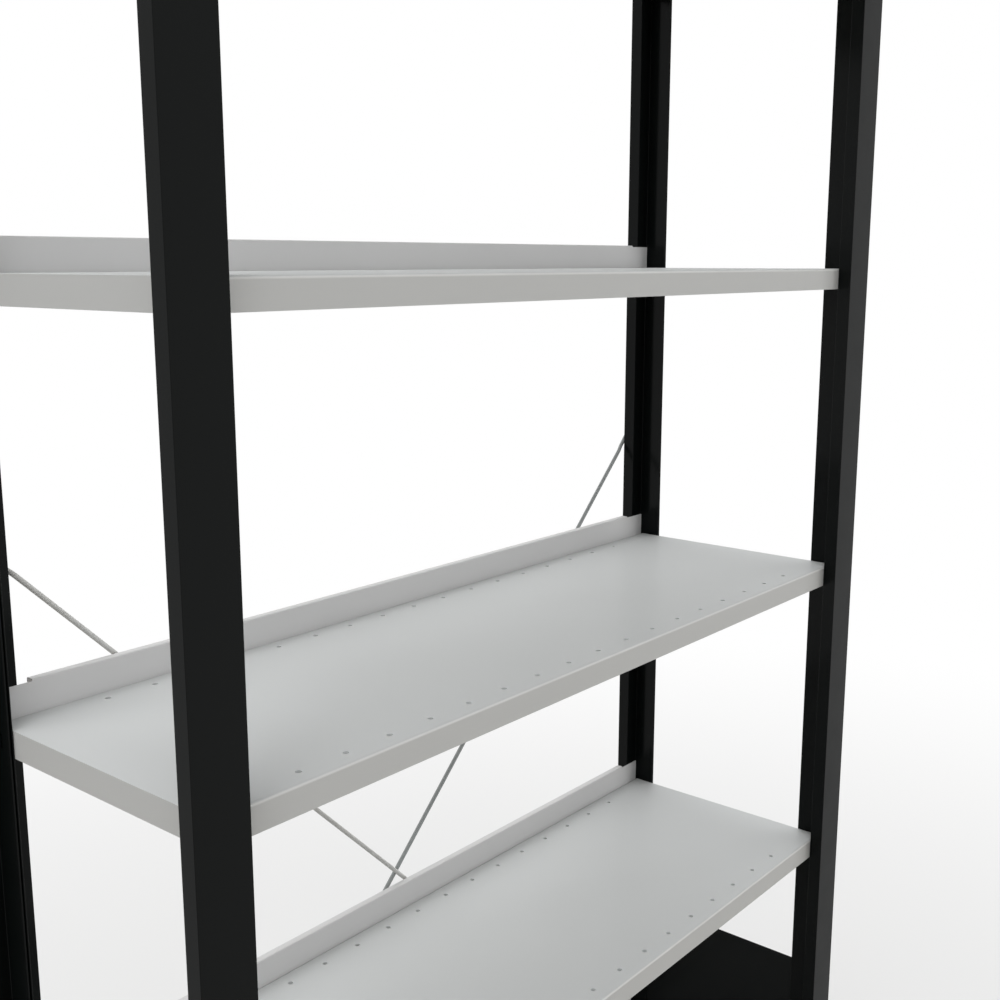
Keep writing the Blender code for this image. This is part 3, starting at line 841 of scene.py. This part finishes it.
class SHELVING_OT_stop_strips(bpy.types.Operator):
    """Build the stop strips behind the shelves"""
    bl_idname = "shelving.stop_strips"
    bl_label = "Stop strips"

    def execute(self, context):
        settings = context.scene.shelving_shelves
        # The strips' lighter coat is painted light.
        paint = powder_coat("strip_grey", settings.strip_lit_paint, settings, settings.shine, settings.sheen_blur)
        shape = strip_shape(settings, *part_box("stop_strip_1"))
        at_each_level(shape, "stop_strip_sheet", "stop_strip", "lip_paint", paint)
        return {"FINISHED"}


# Shelf clips

def clip_corners(settings, stem, low, high, axis):
    """A right-hand clip from the front: ledge, leg, hook through the stem and toe; X from the post's axis."""
    face = -stem / 2 - settings.seat_gap
    behind = stem / 2 + settings.seat_gap
    leg = face - settings.stock
    toe = behind + settings.stock
    tip = low.x - axis
    top = high.z
    hook_top = top - settings.hook_drop
    hook_foot = hook_top - settings.stock
    toe_foot = hook_foot - settings.toe
    bend = settings.bend
    return [(tip, top, bend), (tip, top - settings.stock, bend), (leg, top - settings.stock, bend),
            (leg, low.z, bend), (face, low.z, bend), (face, hook_foot, 0), (behind, hook_foot, bend / 2),
            (behind, toe_foot, bend), (toe, toe_foot, bend), (toe, hook_top, bend), (face, hook_top, 0),
            (face, top, bend)]


class SHELVING_OT_shelf_clips(bpy.types.Operator):
    """Build the hooked clips under the shelf corners"""
    bl_idname = "shelving.shelf_clips"
    bl_label = "Shelf clips"

    def execute(self, context):
        settings = context.scene.shelving_clips
        posts = context.scene.shelving_posts
        coat = powder_coat("clip_black", posts.paint, posts, posts.shine, posts.sheen_blur)
        low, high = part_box("shelf_clip_1_front_right")
        axis = middle(MODEL_POST).x
        half = (high.y - low.y) / 2
        outline = rounded(clip_corners(settings, posts.stem_thickness, low, high, axis), settings.bend_steps)
        shape = prism("clip_shape", outline, -half, half, "Y")
        shape.data.transform(Matrix.Translation((0.0, 0.0, -high.z)))
        soften(shape, settings.edge)
        places = []
        nodes = []
        for level in LEVELS:
            for depth, side in CORNERS:
                node = f"shelf_clip_{level}_{depth}_{side}"
                place = (middle(f"post_{depth}_{side}").x, middle(node).y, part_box(node)[1].z)
                places.append((place, 0.0 if side == "right" else math.pi))
                nodes.append(node)
        piece = set_of_copies("clip_hooks", shape, places, coat)
        dress(piece, FRAME_BODY, "black_paint", coat, *nodes)
        return {"FINISHED"}


# Brace rods and screws

# Powers that shape a rod's section: an ellipse, and a flat bar with rounded corners
ROUND = 2.0
FLAT = 7.0


def eased_steps(steps):
    """Even shares of a length with the same shares eased at both ends."""
    return [(step / steps, (1 - math.cos(math.pi * step / steps)) / 2) for step in range(steps + 1)]


def rod_stations(settings, half, inset):
    """Half a rod from its middle: distance, step behind the flats, width, thickness and squareness."""
    steps = settings.rod_steps
    rod = settings.rod
    wing_step = (rod - settings.flat_thickness) / 2
    flat_start = half - settings.flat_length
    wing_start = flat_start - settings.flat_taper
    crank_end = wing_start - rod / 2
    stations = [(0.0, wing_step - inset, rod, rod, ROUND)]
    for part, eased in eased_steps(steps):
        along = crank_end - settings.crank * (1 - part)
        stations.append((along, wing_step - inset * (1 - eased), rod, rod, ROUND))
    for part, eased in eased_steps(steps):
        along = wing_start + settings.flat_taper * part
        width = rod + (settings.flat_width - rod) * eased
        thickness = rod + (settings.flat_thickness - rod) * eased
        squareness = ROUND + (FLAT - ROUND) * eased
        stations.append((along, wing_step * (1 - eased), width, thickness, squareness))
    for step in range(steps):
        angle = math.pi / 2 * step / steps
        reach = settings.flat_width / 2 * math.sin(angle)
        width = settings.flat_width * math.cos(angle)
        stations.append((half + reach, 0.0, width, settings.flat_thickness, FLAT))
    return stations


def rod_ring(shape, sides, along, behind, width, thickness, squareness):
    """One ring of a rod along X that steps towards +Y, round or flattened."""
    ring = []
    for side in range(sides):
        angle = 2 * math.pi * side / sides
        across = math.copysign(abs(math.cos(angle)) ** (2 / squareness), math.cos(angle)) * width / 2
        deep = math.copysign(abs(math.sin(angle)) ** (2 / squareness), math.sin(angle)) * thickness / 2
        ring.append(shape.verts.new((along, behind + deep, across)))
    return ring


def rod_piece(settings, name, start, end, inset):
    """A rod between two screw centres; inset is how far it lies forward between its cranks."""
    half_stations = rod_stations(settings, (end - start).length / 2, inset)
    mirrored = [(-along, *rest) for along, *rest in reversed(half_stations[1:])]
    shape = bmesh.new()
    rings = [rod_ring(shape, settings.rod_sides, *station) for station in mirrored + half_stations]
    for ring, following in zip(rings, rings[1:]):
        for side in range(settings.rod_sides):
            other = (side + 1) % settings.rod_sides
            shape.faces.new((ring[side], ring[other], following[other], following[side]))
    shape.faces.new(reversed(rings[0]))
    shape.faces.new(rings[-1])
    for face in shape.faces:
        face.smooth = True
    piece = piece_from(name, shape)
    slope = math.atan2(end.z - start.z, end.x - start.x)
    piece.data.transform(Matrix.Translation((start + end) / 2) @ Matrix.Rotation(-slope, 4, "Y"))
    return piece


class SHELVING_OT_brace(bpy.types.Operator):
    """Build the two crossed brace rods"""
    bl_idname = "shelving.brace"
    bl_label = "Brace rods"

    def execute(self, context):
        settings = context.scene.shelving_brace
        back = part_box("post_rear_left")[1].y
        plane = back + context.scene.shelving_clips.seat_gap + settings.flat_thickness / 2
        front_inset = settings.inset + settings.rod + settings.crossing_gap
        # Each rod takes its own tone of the one steel: painted light on the falling rod, painted shade on the
        # rising rod.
        for name, tone, first, last, inset in (
                ("rising", settings.rising_rod_shaded_steel, "lower_left", "upper_right", settings.inset),
                ("falling", settings.falling_rod_lit_steel, "upper_left", "lower_right", front_inset)):
            start, end = (middle(f"brace_screw_{end_name}") for end_name in (first, last))
            start.y = end.y = plane
            piece = rod_piece(settings, f"rod_bar_{name}", start, end, inset)
            steel = drawn_steel(f"{name}_rod_steel", tone)
            dress(piece, FRAME_BODY, "rod_steel", steel, f"brace_rod_{name}")
        return {"FINISHED"}


# Steps round a screw's head and over its dome
SCREW_SIDES = 32
DOME_STEPS = 12


def screw_shape(settings, low, high):
    """A round-headed socket screw along Y with its head's top at the back."""
    seat = high.y - settings.head_height
    head = settings.head / 2
    shank = settings.shank / 2
    tip = 0.8 * shank
    tip_height = 0.4 * shank
    seat_rim = 0.97 * head
    land = 0.6 * settings.socket
    socket_depth = 0.55 * settings.head_height
    profile = [(0.0, low.y), (tip, low.y), (shank, low.y + tip_height), (shank, seat), (seat_rim, seat)]
    for step in range(DOME_STEPS + 1):
        angle = math.pi / 2 * step / DOME_STEPS
        height = settings.head_height * math.sin(angle)
        profile.append((land + (head - land) * math.cos(angle), seat + height))
    shape = bmesh.new()
    points = [shape.verts.new((across, along, 0.0)) for across, along in profile + [(0.0, high.y)]]
    edges = [shape.edges.new(pair) for pair in zip(points, points[1:])]
    bmesh.ops.spin(shape, geom=points + edges, axis=(0, 1, 0), cent=(0, 0, 0), angle=2 * math.pi,
                   steps=SCREW_SIDES)
    bmesh.ops.remove_doubles(shape, verts=shape.verts, dist=1e-6)
    piece = piece_from("screw_shape", shape)
    socket = bmesh.new()
    turn = Matrix.Translation((0.0, high.y, 0.0)) @ Matrix.Rotation(math.pi / 2, 4, "X")
    bmesh.ops.create_cone(socket, cap_ends=True, segments=6, radius1=settings.socket / 2,
                          radius2=settings.socket / 2, depth=2 * socket_depth, matrix=turn)
    combine(piece, piece_from("socket", socket))
    return soften(piece, settings.screw_edge)


class SHELVING_OT_brace_screws(bpy.types.Operator):
    """Build the screws that hold the brace"""
    bl_idname = "shelving.brace_screws"
    bl_label = "Brace screws"

    def execute(self, context):
        settings = context.scene.shelving_brace
        zinc = plated_steel("screw_zinc", settings.plating)
        nodes = [f"brace_screw_{end}_{side}" for end in ("lower", "upper") for side in SIDES]
        low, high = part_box(nodes[0])
        shape = screw_shape(settings, low, high)
        places = [((middle(node).x, 0.0, middle(node).z), 0.0) for node in nodes]
        piece = set_of_copies("brace_screw_set", shape, places, zinc)
        dress(piece, FRAME_BODY, "zinc", zinc, *nodes)
        return {"FINISHED"}


# Stage

def light_and_look(tree, light, look):
    """One shader for rays that carry light and another for the camera, mirror-like faces and glass."""
    path = add(tree, "ShaderNodeLightPath").outputs
    rays = {0: path["Is Camera Ray"], 1: path["Is Glossy Ray"]}
    first = add(tree, "ShaderNodeMath", rays, operation="MAXIMUM")
    rays = {0: first.outputs["Value"], 1: path["Is Transmission Ray"]}
    seen = add(tree, "ShaderNodeMath", rays, operation="MAXIMUM")
    parts = {"Fac": seen.outputs["Value"], 1: light, 2: look}
    return add(tree, "ShaderNodeMixShader", parts).outputs["Shader"]


def white_room():
    """A room that looks white and gives no light of its own."""
    world = bpy.data.worlds.new("white_room")
    bpy.context.scene.world = world
    world.use_nodes = True
    tree = world.node_tree
    unlit = tree.nodes["Background"]
    fill(unlit, {"Strength": 0.0})
    white = add(tree, "ShaderNodeBackground", {"Color": (1.0, 1.0, 1.0, 1.0), "Strength": 1.0})
    room = light_and_look(tree, unlit.outputs["Background"], white.outputs["Background"])
    fill(tree.nodes["World Output"], {"Surface": room})


def whitening(settings, tree, near):
    """A level that rises from its value near the unit to 1 where the floor is plain white; on the floor's
    glow the lower level near the unit is a painted shadow.
    """
    place = add(tree, "ShaderNodeTexCoord").outputs["Object"]
    away = add(tree, "ShaderNodeVectorMath", {0: place}, operation="LENGTH").outputs["Value"]
    levels = {"Value": away, "From Min": settings.floor_start, "From Max": settings.floor_white,
              "To Min": near, "To Max": 1.0}
    return add(tree, "ShaderNodeMapRange", levels, interpolation_type="SMOOTHSTEP").outputs["Result"]


def floor_finish(settings):
    """Pale floor that glows for the camera, with a painted shadow that dims the glow near the unit; it keeps
    its real shadow in part and sends a warm light back up.
    """
    material, bounce = principled("pale_floor")
    tree = material.node_tree
    fill(bounce, {"Base Color": (*settings.floor_bounce, 1.0), "Roughness": 0.9, "Specular IOR Level": 0.0})
    # The glow is dimmer near the unit: painted shadow.
    glow = add(tree, "ShaderNodeEmission", {"Strength": whitening(settings, tree, settings.floor_near_painted_shadow)})
    shadowed = add(tree, "ShaderNodeBsdfDiffuse", {"Color": (*settings.floor_tone, 1.0)})
    parts = {"Fac": whitening(settings, tree, settings.floor_glow), 1: shadowed.outputs["BSDF"],
             2: glow.outputs["Emission"]}
    look = add(tree, "ShaderNodeMixShader", parts).outputs["Shader"]
    surface = light_and_look(tree, bounce.outputs["BSDF"], look)
    fill(tree.nodes["Material Output"], {"Surface": surface})
    return material


# Heading from +X towards +Y and rise above level, in degrees, and share of the lamp power
SOFTBOXES = {
    "front_left_softbox": (-135.0, 35.0, 0.50),
    "front_right_softbox": (-45.0, 10.0, 0.59),
    "right_softbox": (0.0, 10.0, 0.59),
    "back_right_softbox": (45.0, 35.0, 0.66),
    "back_right_high_softbox": (45.0, 62.0, 0.22),
    "back_softbox": (90.0, 10.0, 0.32),
    "back_left_high_softbox": (135.0, 62.0, 0.24),
    "left_softbox": (180.0, 35.0, 0.46),
}


def softbox(settings, name, heading, rise, strength):
    """A square area light that faces the unit and isn't seen itself; its angles are in degrees."""
    data = bpy.data.lights.new(name, "AREA")
    data.energy = settings.lamp_power * strength
    data.size = settings.lamp_size
    lamp = linked(name, data)
    around = math.radians(heading)
    above = math.radians(rise)
    level = math.cos(above)
    towards = Vector((level * math.cos(around), level * math.sin(around), math.sin(above)))
    lamp.location = Vector((0.0, 0.0, settings.lamp_aim)) + settings.lamp_distance * towards
    lamp.rotation_euler = towards.to_track_quat("Z", "Y").to_euler()
    lamp.visible_camera = False
    lamp.visible_glossy = False


class SHELVING_OT_stage(bpy.types.Operator):
    """Set up the floor, the light and the camera"""
    bl_idname = "shelving.stage"
    bl_label = "Stage"

    def execute(self, context):
        settings = context.scene.shelving_stage
        context.scene.view_settings.view_transform = "Standard"
        white_room()
        reach = settings.floor_reach
        corners = [(-reach, -reach, 0.0), (reach, -reach, 0.0), (reach, reach, 0.0), (-reach, reach, 0.0)]
        mesh = bpy.data.meshes.new("floor")
        mesh.from_pydata(corners, [], [(0, 1, 2, 3)])
        mesh.materials.append(floor_finish(settings))
        linked("floor", mesh)

        for name, (heading, rise, strength) in SOFTBOXES.items():
            softbox(settings, name, heading, rise, strength)

        data = bpy.data.cameras.new("camera")
        data.lens = settings.camera_lens
        data.sensor_width = settings.picture_width
        camera = linked("camera", data)
        camera.location = settings.camera_place
        quarter = math.pi / 2
        camera.rotation_euler = (quarter - settings.camera_tilt, 0.0, settings.camera_heading - quarter)
        context.scene.camera = camera
        return {"FINISHED"}


OPERATORS = (
    SHELVING_OT_posts,
    SHELVING_OT_side_plates,
    SHELVING_OT_feet_and_caps,
    SHELVING_OT_shelves,
    SHELVING_OT_stop_strips,
    SHELVING_OT_shelf_clips,
    SHELVING_OT_brace,
    SHELVING_OT_brace_screws,
    SHELVING_OT_stage,
)


class SHELVING_PT_sidebar(bpy.types.Panel):
    """The unit's pieces and their settings"""
    bl_idname = "SHELVING_PT_sidebar"
    bl_label = "File shelving unit"
    bl_space_type = "VIEW_3D"
    bl_region_type = "UI"
    bl_category = "Shelving"

    def draw(self, context):
        for operator in OPERATORS:
            self.layout.operator(operator.bl_idname)
        for name, group in SETTINGS.items():
            box = self.layout.box()
            box.label(text=group.__doc__)
            for key in group.__annotations__:
                box.prop(getattr(context.scene, name), key, text=key.replace("_", " ").capitalize())


CLASSES = (*SETTINGS.values(), *OPERATORS, SHELVING_PT_sidebar)


def register():
    for item in CLASSES:
        bpy.utils.register_class(item)
    for name, group in SETTINGS.items():
        setattr(bpy.types.Scene, name, PointerProperty(type=group))


def unregister():
    for name in SETTINGS:
        delattr(bpy.types.Scene, name)
    for item in reversed(CLASSES):
        bpy.utils.unregister_class(item)


def main():
    register()
    bpy.ops.shelving.posts()
    bpy.ops.shelving.side_plates()
    bpy.ops.shelving.feet_and_caps()
    bpy.ops.shelving.shelves()
    bpy.ops.shelving.stop_strips()
    bpy.ops.shelving.shelf_clips()
    bpy.ops.shelving.brace()
    bpy.ops.shelving.brace_screws()
    bpy.ops.shelving.stage()


if __name__ == "__main__":
    main()
